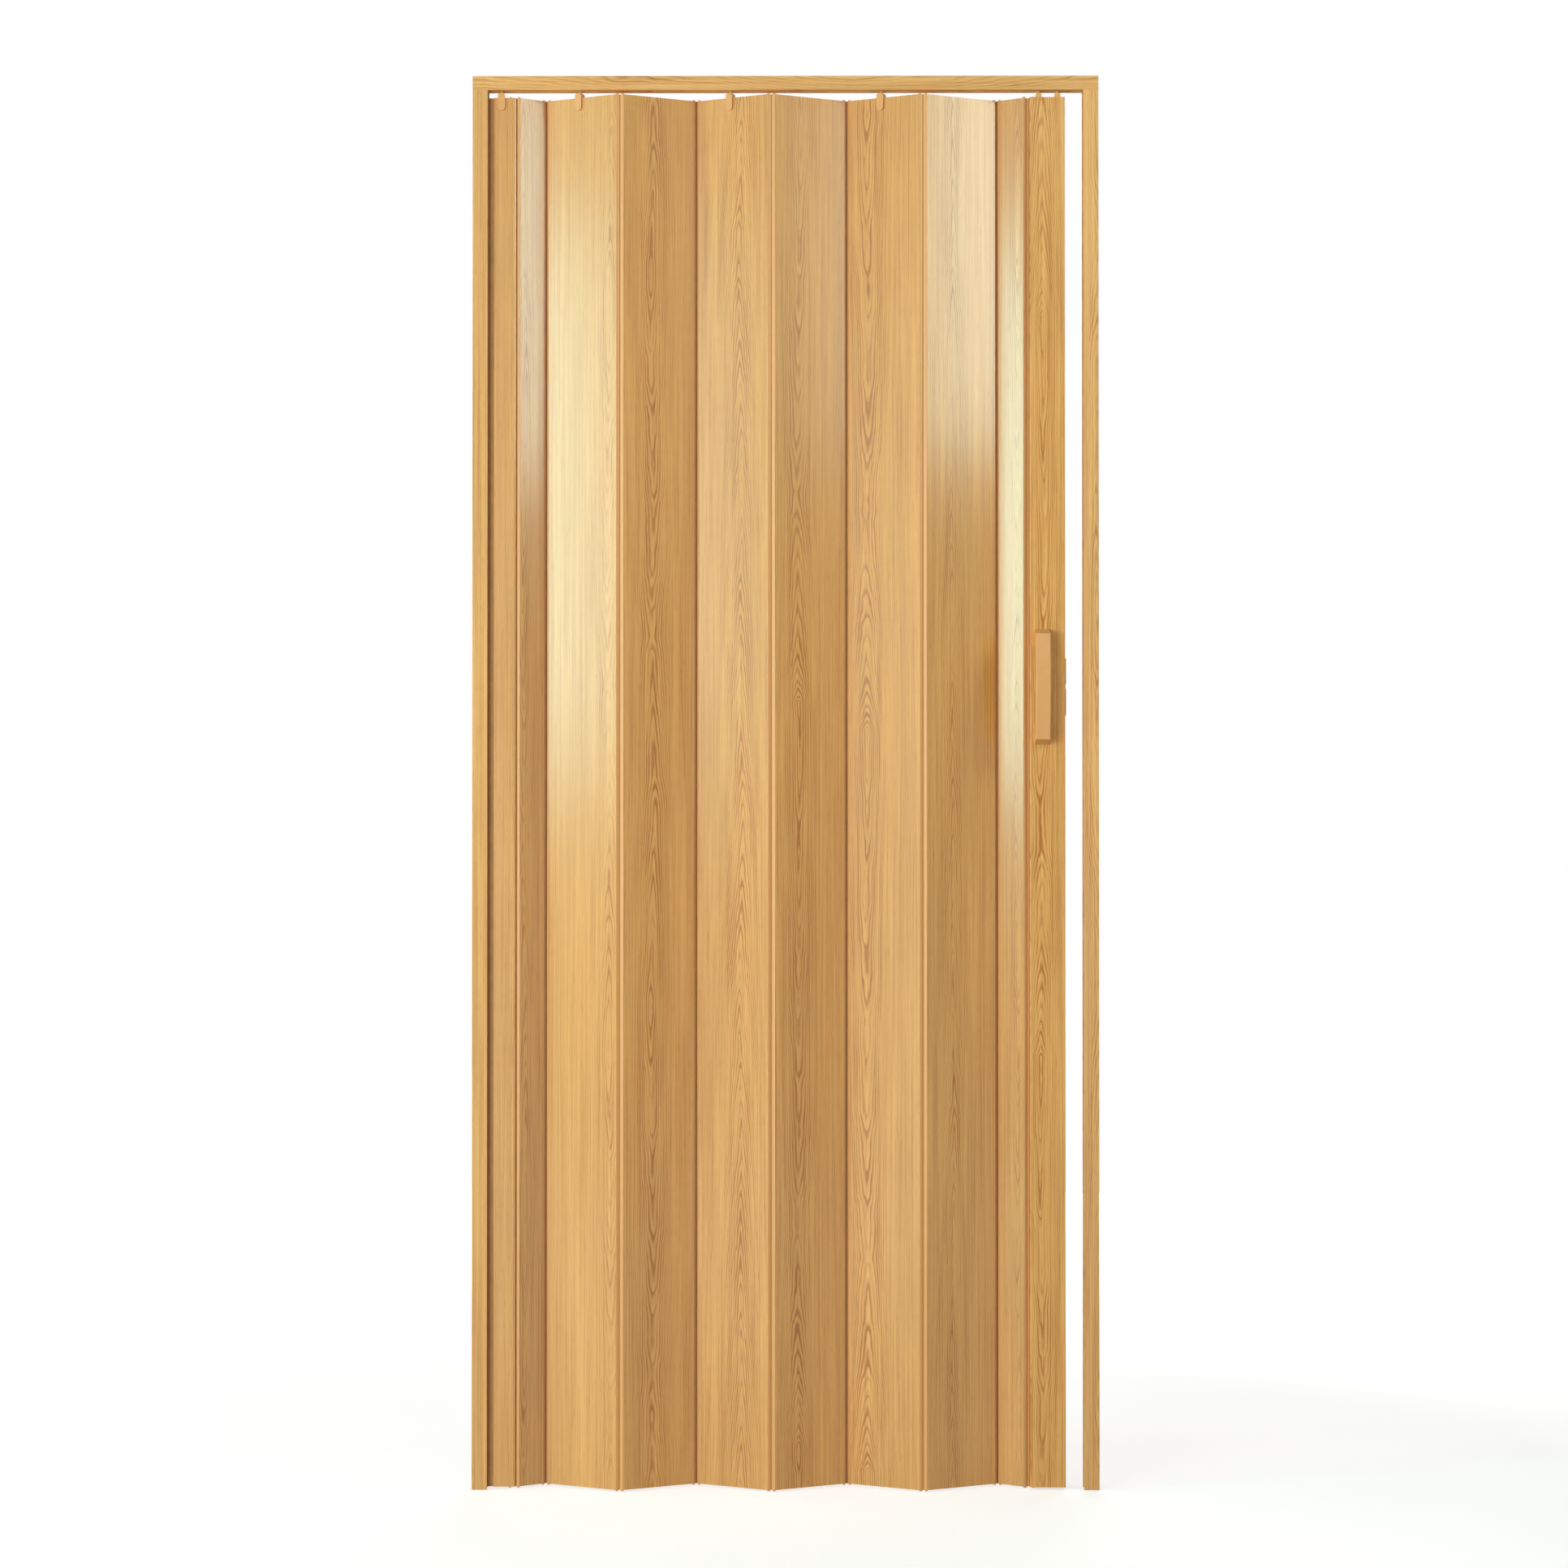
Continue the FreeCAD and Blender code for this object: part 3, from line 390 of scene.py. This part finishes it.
tan_plastic = plastic("tan_plastic", (0.72, 0.36, 0.122), 0.02)
# Dark brown in the middle of each hinge web: painted shade of the crease where two slats fold together
crease_shade_plastic = plastic("painted_crease_shade", (0.25, 0.105, 0.032), 0.08, roughness=0.6, shine=0.15)
brown_plastic = plastic("brown_plastic", (0.52, 0.27, 0.095), 0.08, roughness=0.5, shine=0.25)
steel = metal("zinc_steel", (0.62, 0.62, 0.60), 0.34, (300.0, 300.0, 12.0))
dark_magnet = metal("sintered_magnet", (0.11, 0.11, 0.115), 0.5, (500.0, 500.0, 500.0))


# Mesh helpers
def arc(centre, radius, start, end, steps):
    """Points on an arc, from one angle to another in degrees."""
    angles = (math.radians(start + (end - start) * i / steps) for i in range(steps + 1))
    return [(centre[0] + radius * math.cos(a), centre[1] + radius * math.sin(a)) for a in angles]


def bow(start, end, height, steps):
    """Points on a shallow arc from one point to another, which bulges to the right of the way."""
    chord = Vector(end) - Vector(start)
    out = Vector((chord.y, -chord.x)).normalized()
    points = []
    for i in range(steps + 1):
        share = i / steps
        point = Vector(start) + chord * share + out * (4.0 * height * share * (1.0 - share))
        points.append((point.x, point.y))
    return points


def finished(points, finish):
    """Gives each point the finish of the face after it."""
    return [(x, y, finish) for x, y in points]


def plain(points):
    return finished(points, PLAIN)


def coated(points):
    return finished(points, FOIL)


def moved(points, centre):
    return [(x + centre.x, y + centre.y, finish) for x, y, finish in points]


def half_turned(points):
    return [(-x, -y, finish) for x, y, finish in points]


def mirrored(loop):
    """A loop turned front to back, still in the same sense of turn."""
    count = len(loop)
    return [(loop[-i][0], -loop[-i][1], loop[-i - 1][2]) for i in range(count)]


def rectangle_hole(left, right, low, high):
    return plain([(left, low), (left, high), (right, high), (right, low)])


def add_wall(mesh, loop, low, high):
    """The side faces of a closed loop of points."""
    lower = [mesh.verts.new((x, y, low)) for x, y, _ in loop]
    upper = [mesh.verts.new((x, y, high)) for x, y, _ in loop]
    for i, (_, _, finish) in enumerate(loop):
        after = (i + 1) % len(loop)
        face = mesh.faces.new((lower[i], lower[after], upper[after], upper[i]))
        face.material_index = finish


def is_level(edge, level):
    return all(abs(corner.co.z - level) < SAME_PLACE for corner in edge.verts)


def close_ends(mesh, levels):
    """Fills the open ends of the walls at the given heights, and leaves their holes open."""
    bmesh.ops.remove_doubles(mesh, verts=mesh.verts, dist=SAME_PLACE)
    for level in levels:
        rim = [edge for edge in mesh.edges if edge.is_boundary and is_level(edge, level)]
        made = bmesh.ops.triangle_fill(mesh, use_beauty=True, edges=rim)["geom"]
        for item in made:
            if isinstance(item, bmesh.types.BMFace):
                item.material_index = PLAIN


def mark_edges(mesh):
    """Smooths the round parts and keeps each edge of a flat end and each real corner sharp."""
    bmesh.ops.recalc_face_normals(mesh, faces=mesh.faces)
    for face in mesh.faces:
        face.smooth = True
    for edge in mesh.edges:
        at_end = abs(edge.verts[0].co.z - edge.verts[1].co.z) < SAME_PLACE
        edge.smooth = not at_end and edge.calc_face_angle(math.pi) < SHARP_ANGLE


def add_piece(name, mesh, materials, body, node, matrix=Matrix.Identity(4)):
    """Makes an object of the mesh, which rides on a body and stands for a CAD node."""
    mark_edges(mesh)
    data = bpy.data.meshes.new(name)
    mesh.to_mesh(data)
    mesh.free()
    piece = bpy.data.objects.new(name, data)
    scene.collection.objects.link(piece)
    for material in materials:
        data.materials.append(material)
    flatten = piece.modifiers.new("flat faces keep their normals", "WEIGHTED_NORMAL")
    flatten.keep_sharp = True
    piece.matrix_world = matrix
    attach(piece, body)
    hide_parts(node)


def extrusion(name, loops, materials, body, node, matrix=Matrix.Identity(4)):
    """A hollow profile from the foot of the slats to their top."""
    mesh = bmesh.new()
    for loop in loops:
        add_wall(mesh, loop, slat_low, slat_high)
    close_ends(mesh, (slat_low, slat_high))
    add_piece(name, mesh, materials, body, node, matrix)


# Slats, with three cells at each side of a glide's cell or in a narrow slat
SIDE_CELLS = 3


def slat_end(lip_finish):
    """One end of a slat, round its bead axis from the front face to the back face: a wrapped edge, a lip,
    the socket and the mouth, which opens to the back."""
    wrap = arc(BEAD_AXIS, SLAT_HALF, 270.0, 270.0 + FOIL_WRAP, WRAP_STEPS)
    lip_end = arc(BEAD_AXIS, SLAT_HALF, 0.0, LIP_END, 1)[-1]
    lip = bow(wrap[-1], lip_end, LIP_BOW, LIP_STEPS)
    socket = arc(BEAD_AXIS, SOCKET_RADIUS, MOUTH_LOW, MOUTH_HIGH - 360.0, SOCKET_STEPS)
    mouth = [socket[-1], (-MOUTH_SIDE, SLAT_HALF)]
    return coated(wrap[:-1]) + finished(lip, lip_finish) + plain(socket[:-1]) + coated(mouth)


def slat_loops(pitch, cells, hand, right_lip):
    """The section of a slat along +X from its left bead axis. Its left mouth opens to the front, or with
    hand +1 to the back."""
    right = [(pitch + x, y, finish) for x, y, finish in slat_end(right_lip)]
    left = half_turned(slat_end(PLAIN))
    inner = SLAT_HALF - SLAT_WALL
    loops = [right + left] + [rectangle_hole(start, start + width, -inner, inner) for start, width in cells]
    return [mirrored(loop) for loop in loops] if hand > 0 else loops


def equal_cells(left, right):
    width = (right - left - (SIDE_CELLS - 1) * SLAT_RIB) / SIDE_CELLS
    return [(left + i * (width + SLAT_RIB), width) for i in range(SIDE_CELLS)]


def full_cells(pitch, track_line):
    """The cells of a full slat, with the one that holds the glide under the line of the track."""
    left = track_line - GLIDE_CELL / 2
    right = track_line + GLIDE_CELL / 2
    return (
        equal_cells(SLAT_EDGE, left - SLAT_RIB)
        + [(left, GLIDE_CELL)]
        + equal_cells(right + SLAT_RIB, pitch - SLAT_EDGE)
    )


def slat(name, node, body, start, end, hand, material, full=False, right_lip=PLAIN):
    """One slat between two bead axes."""
    run = end - start
    pitch = run.length
    cells = equal_cells(SLAT_EDGE, pitch - SLAT_EDGE)
    if full:
        cells = full_cells(pitch, END_PITCH if hand < 0 else pitch - END_PITCH)
    turn = Matrix.Rotation(math.atan2(run.y, run.x), 4, "Z")
    matrix = Matrix.Translation((start.x, start.y, 0.0)) @ turn
    loops = slat_loops(pitch, cells, hand, right_lip)
    extrusion(name, loops, (material, tan_plastic), body, node, matrix)


# The grain of each full slat: centre is metres from its left bead axis, and start is metres above the floor.
# Tone and saturation also paint shade: they make the slats that face right, away from the key lamp, darker
# and redder.
SLAT_GRAIN_AND_SHADE = {
    1: {"seed": 1.3, "centre": 0.099, "start": 0.62, "spacing": 0.0042, "contrast": 0.8, "tone": 0.985},
    2: {"seed": 2.9, "centre": 0.042, "start": 0.69, "spacing": 0.0042, "depth": 11.0, "tone": 0.98,
        "saturation": 1.03},
    3: {"seed": 4.1, "centre": 0.066, "start": 0.30, "spacing": 0.0050, "depth": 0.5, "climb": 30.0,
        "contrast": 1.65},
    4: {"seed": 5.6, "centre": 0.034, "start": 0.065, "spacing": 0.0042, "skew": 0.55, "tone": 0.97,
        "saturation": 1.03},
    5: {"seed": 7.2, "centre": 0.026, "start": 0.025, "spacing": 0.0046, "skew": 0.55, "contrast": 1.65},
    6: {"seed": 8.8, "centre": 0.038, "start": 0.10, "spacing": 0.0042, "depth": 0.5, "climb": 24.0,
        "contrast": 1.0, "tone": 0.97, "saturation": 1.03},
}

for i, settings in SLAT_GRAIN_AND_SHADE.items():
    slat(f"oak_slat_{i}", f"panel_{i}", f"slat_{i}",
         axis_of[f"slat_{i}_turn"], axis_of[f"strip_{i + 1}_turn"],
         -1 if i % 2 == 1 else 1, foil(f"slat_{i}", **settings), full=True)

wall_hinge = axis_of["fold"]
lead_hinge = axis_of["post_turn"]
end_step = Vector((END_HINGE_PITCH, 0.0, 0.0))
# Its tone below one is painted shade on this slat, which faces right, away from the key lamp
wall_foil = foil("slat_wall", seed=10.4, centre=0.003, start=0.40, contrast=0.9, tone=0.90)
slat("oak_slat_wall", "end_panel_wall", "wall_end",
     wall_hinge + end_step, axis_of["strip_1_turn"], 1, wall_foil)
# Its tone below one darkens this slat: painted shade
lead_foil = foil("slat_lead", seed=12.1, centre=0.028, start=0.78, contrast=0.7, tone=0.94)
slat("oak_slat_lead", "end_panel_lead", "lead_end",
     axis_of["lead_end_turn"], lead_hinge - end_step, -1, lead_foil, right_lip=FOIL)


# Hinge strips
def web_face(middle, shade_band):
    """One face of a web, from left to right along the front: a dark brown band of painted crease shade, or a
    thin rib that fills the gap between two lips."""
    if shade_band:
        band = [(-SHADE_BAND_HALF, -WEB_HALF, DARK_FINISH), (SHADE_BAND_HALF, -WEB_HALF, PLAIN)]
    else:
        left_side = [(-RIB_HALF, -WEB_HALF), (-RIB_HALF, -RIB_TOP)]
        right_side = [(RIB_HALF, -RIB_TOP), (RIB_HALF, -WEB_HALF)]
        band = plain(left_side + right_side)
    return [(middle + x, y, finish) for x, y, finish in band]


def add_bead_end(mesh, centre, radius, edge, way):
    """The bevelled end of a bead, which stands out past the web."""
    tip = edge + way * BEAD_PROUD
    rings = ((radius, edge), (radius, tip - way * BEAD_BEVEL), (radius - BEAD_BEVEL, tip))
    circles = []
    for ring_radius, z in rings:
        points = arc(centre, ring_radius, 0.0, 360.0, BEAD_END_STEPS)[:-1]
        circles.append([mesh.verts.new((x, y, z)) for x, y in points])
    for lower, upper in zip(circles, circles[1:]):
        for i in range(BEAD_END_STEPS):
            after = (i + 1) % BEAD_END_STEPS
            mesh.faces.new((lower[i], lower[after], upper[after], upper[i])).material_index = PLAIN
    mesh.faces.new(circles[-1]).material_index = PLAIN
    mesh.faces.new(circles[0]).material_index = PLAIN


def hinge_strip(name, node, body, start, pitch, radii, shade_band_front):
    """A flexible web with a round bead on each edge. The beads stand out past its ends. The web has a dark
    band of painted crease shade on one side and a rib on the other."""
    mesh = bmesh.new()
    centres = (BEAD_AXIS, (pitch, 0.0))
    opening = [math.degrees(math.asin(WEB_HALF / radius)) for radius in radii]
    outline = plain(arc(centres[0], radii[0], opening[0], 360.0 - opening[0], BEAD_STEPS))
    outline += web_face(pitch / 2, shade_band_front)
    outline += plain(arc(centres[1], radii[1], 180.0 + opening[1], 540.0 - opening[1], BEAD_STEPS))
    outline += half_turned(web_face(-pitch / 2, not shade_band_front))
    add_wall(mesh, moved(outline, start), slat_low, slat_high)
    close_ends(mesh, (slat_low, slat_high))
    for centre, radius in zip(centres, radii):
        for edge, way in ((slat_high, 1.0), (slat_low, -1.0)):
            add_bead_end(mesh, (centre[0] + start.x, centre[1] + start.y), radius, edge, way)
    add_piece(name, mesh, (tan_plastic, tan_plastic, crease_shade_plastic), body, node)


for i in range(1, len(SLAT_GRAIN_AND_SHADE) + 2):
    hinge_strip(f"hinge_web_{i}", f"hinge_strip_{i}", f"strip_{i}", axis_of[f"strip_{i}_turn"], HINGE_PITCH,
                (BEAD_RADIUS, BEAD_RADIUS), i % 2 == 1)
hinge_strip("hinge_web_wall", "wall_hinge_strip", "wall_end", wall_hinge, END_HINGE_PITCH,
            (BEAD_RADIUS, SOCKET_RADIUS), False)
hinge_strip("hinge_web_lead", "lead_hinge_strip", "lead_end", lead_hinge - end_step, END_HINGE_PITCH,
            (SOCKET_RADIUS, BEAD_RADIUS), False)


# Wall stile and leading post
def ray_to_x(angle, x):
    """Where a line from the hinge axis reaches a distance along X."""
    return (x, x * math.tan(math.radians(angle)))


def ray_to_y(angle, y):
    """Where a line from the hinge axis reaches a distance along Y."""
    return (y / math.tan(math.radians(angle)), y)


def wall_stile():
    left = STILE_LEFT - wall_hinge.x
    bar = TONGUE_LEFT - wall_hinge.x
    half = STILE_HALF
    bevel_start = (STILE_NOSE - STILE_BEVEL, -half)
    bevel_end = (STILE_NOSE, -half + STILE_BEVEL_DEPTH)
    outline = coated(arc((left + EDGE_ROUND, -half + EDGE_ROUND), EDGE_ROUND, 180.0, 270.0, EDGE_STEPS))
    outline += coated(bow(bevel_start, bevel_end, STILE_BEVEL_BOW, EDGE_STEPS))
    outline += plain([ray_to_x(SWING_LOW, STILE_NOSE)])
    outline += plain(arc(BEAD_AXIS, SOCKET_RADIUS, SWING_LOW, SWING_HIGH - 360.0, SOCKET_STEPS))
    outline += coated([ray_to_y(SWING_HIGH, half)])
    outline += coated(arc((left + EDGE_ROUND, half - EDGE_ROUND), EDGE_ROUND, 90.0, 180.0, EDGE_STEPS))
    tongue = [
        (left, TONGUE_HALF), (bar + STILE_WALL, TONGUE_HALF), (bar + STILE_WALL, CROSS_BAR_HALF),
        (bar, CROSS_BAR_HALF), (bar, -CROSS_BAR_HALF), (bar + STILE_WALL, -CROSS_BAR_HALF),
        (bar + STILE_WALL, -TONGUE_HALF), (left, -TONGUE_HALF),
    ]
    outline += finished(tongue, DARK_FINISH)
    inner = half - STILE_WALL
    hole = rectangle_hole(left + STILE_WALL, -SOCKET_RADIUS - SOCKET_WALL, -inner, inner)
    loops = [moved(loop, wall_hinge) for loop in (outline, hole)]
    stile_foil = foil("stile", seed=14.0, centre=-0.386, start=0.25, contrast=1.2, tone=0.99)
    materials = (stile_foil, tan_plastic, brown_plastic)
    extrusion("oak_stile", loops, materials, "frame", "wall_stile")


def lead_post():
    left = -POST_NOSE
    right = POST_WIDTH - POST_NOSE
    half = POST_HALF
    inset = POST_ROUND
    outline = coated(arc((left + inset, -half + inset), inset, 180.0, 270.0, POST_STEPS))
    outline += coated(arc((right - inset, -half + inset), inset, 270.0, 360.0, POST_STEPS))
    outline += coated(arc((right - inset, half - inset), inset, 0.0, 90.0, POST_STEPS))
    outline += plain([ray_to_y(180.0 - SWING_HIGH, half)])
    outline += plain(arc(BEAD_AXIS, SOCKET_RADIUS, 180.0 - SWING_HIGH, -180.0 - SWING_LOW, SOCKET_STEPS))
    outline += coated([ray_to_x(180.0 - SWING_LOW, left)])
    inner = half - POST_WALL
    hole = rectangle_hole(SOCKET_RADIUS + SOCKET_WALL, right - POST_WALL, -inner, inner)
    loops = [moved(loop, lead_hinge) for loop in (outline, hole)]
    # A tone above one lightens the post: painted light on its front
    post_foil = foil("post", seed=15.5, centre=lead_hinge.x + 0.004, start=0.62, skew=0.6, spacing=0.0036,
                     contrast=1.4, tone=1.06, shine=0.3)
    extrusion("oak_post", loops, (post_foil, tan_plastic), "post", "lead_post")


wall_stile()
lead_post()


# Materials of the nodes that stay
def dress(material, *nodes):
    for node in nodes:
        data = frame["nodes"][node].data
        data.materials.clear()
        data.materials.append(material)


# Tones above one lighten the track and the jambs: painted light
track_foil = foil("track", seed=17.0, centre=2.023, start=0.1, spacing=0.0065, contrast=0.9, tone=1.08,
                  saturation=0.93, shine=0.0, level=True)
wall_jamb_foil = foil("wall_jamb", seed=18.2, centre=-0.39, start=0.5, contrast=1.1, tone=1.06,
                      saturation=0.93, shine=0.0)
strike_jamb_foil = foil("strike_jamb", seed=19.7, centre=0.436, start=0.2, spacing=0.0036, contrast=0.75,
                        tone=1.12, saturation=0.92, shine=0.0)
dress(track_foil, "top_track")
dress(wall_jamb_foil, "wall_jamb")
dress(strike_jamb_foil, "strike_jamb")
dress(tan_plastic, "wall_glide", "panel_glide_1", "panel_glide_2", "panel_glide_3", "lead_glides",
      "front_handle", "rear_handle", "magnet_holder")
dress(steel, "strike_plate", "strike_rivets", "handle_screws")
dress(dark_magnet, "magnets")


# Floor and surroundings
AMBIENT = 0.053
WHITE = (1.0, 1.0, 1.0, 1.0)
WARM = (1.0, 0.80, 0.72, 1.0)
FLOOR_HALF = 60.0
FLOOR_CELLS = 8
FLOOR_DROP = 0.0005
FLOOR_TONE = (0.59, 0.61)
FLOOR_MOTTLE = 3.0
FLOOR_ROUGHNESS = 0.9
FLOOR_SHINE = 0.1
FLOOR_FADE = (1.2, 2.8)
FLOOR_GLOW = (0.60, 0.95)


def background_rays(tree):
    """One for rays that should see the white surroundings: from the camera, mirrored or refracted."""
    rays = tree.nodes.new("ShaderNodeLightPath").outputs
    seen = calc(tree, "MAXIMUM", rays["Is Camera Ray"], rays["Is Glossy Ray"])
    return calc(tree, "MAXIMUM", seen, rays["Is Transmission Ray"])


def make_floor():
    """A pale floor that takes the object's shadow near it and turns white further out."""
    mesh = bmesh.new()
    bmesh.ops.create_grid(mesh, x_segments=FLOOR_CELLS, y_segments=FLOOR_CELLS, size=FLOOR_HALF)
    data = bpy.data.meshes.new("floor")
    mesh.to_mesh(data)
    mesh.free()
    floor = bpy.data.objects.new("floor", data)
    floor.location.z = -FLOOR_DROP
    scene.collection.objects.link(floor)
    material, tree, shader, place = new_material("pale_floor")
    shader.inputs["Roughness"].default_value = FLOOR_ROUGHNESS
    shader.inputs["Specular IOR Level"].default_value = FLOOR_SHINE
    tone = stretch(tree, noise(tree, place, FLOOR_MOTTLE), NOISE_SPAN, FLOOR_TONE)
    tree.links.new(tone, shader.inputs["Base Color"])
    shader.inputs["Emission Color"].default_value = WHITE
    reach = tree.nodes.new("ShaderNodeVectorMath")
    reach.operation = "LENGTH"
    tree.links.new(place, reach.inputs[0])
    glow = stretch(tree, reach.outputs["Value"], FLOOR_FADE, FLOOR_GLOW)
    tree.links.new(calc(tree, "MULTIPLY", background_rays(tree), glow), shader.inputs["Emission Strength"])
    data.materials.append(material)


def make_world():
    """White where it is seen, and a weak warm light everywhere else."""
    world = bpy.data.worlds.new("studio")
    scene.world = world
    world.use_nodes = True
    tree = world.node_tree
    back = tree.nodes["Background"]
    seen = background_rays(tree)
    tree.links.new(blend_colours(tree, seen, WARM, WHITE), back.inputs["Color"])
    tree.links.new(stretch(tree, seen, UNIT, (AMBIENT, 1.0)), back.inputs["Strength"])


make_floor()
make_world()


# Lamps
def area_light(name, location, target, size, radiance, colour=(1.0, 1.0, 1.0)):
    """A soft lamp by its brightness, so that its size doesn't change how bright it looks."""
    lamp = bpy.data.lights.new(name, "AREA")
    lamp.shape = "RECTANGLE"
    lamp.size, lamp.size_y = size
    lamp.energy = radiance * math.pi * size[0] * size[1]
    lamp.color = colour
    holder = bpy.data.objects.new(name, lamp)
    holder.location = location
    holder.rotation_euler = (Vector(target) - Vector(location)).to_track_quat("-Z", "Y").to_euler()
    scene.collection.objects.link(holder)


area_light("key", (-2.4, -4.2, 0.80), (0.0, 0.0, 0.80), (2.8, 3.2), 6.6, (1.0, 1.0, 0.93))
area_light("left_side", (-2.5, 0.0, 0.95), (0.0, 0.0, 0.95), (1.2, 2.2), 2.7)
area_light("left_strip", (-4.0, -1.82, 1.81), (0.0, -1.82, 1.81), (1.22, 1.52), 10.7, (0.55, 1.0, 0.91))
area_light("top_fill", (1.5, -4.5, 3.8), (0.0, 0.0, 1.0), (2.5, 2.0), 2.15)
area_light("back_fill", (0.8, 4.0, 1.3), (0.0, 0.0, 1.0), (3.0, 3.0), 4.0)
area_light("right_strip", (2.0, -0.885, 2.16), (0.0, -0.885, 2.16), (0.77, 0.92), 9.0, (0.79, 1.0, 0.87))

# Camera
CAMERA_PLACE = (0.0170, -5.200, 0.9613)
CAMERA_TILT = math.radians(90.5541)
CAMERA_TURN = math.radians(0.2108)

camera = bpy.data.cameras.new("camera")
camera.sensor_width = 36.0
camera.lens = 82.97
camera_holder = bpy.data.objects.new("camera", camera)
camera_holder.location = CAMERA_PLACE
camera_holder.rotation_euler = (CAMERA_TILT, 0.0, CAMERA_TURN)
scene.collection.objects.link(camera_holder)
scene.camera = camera_holder
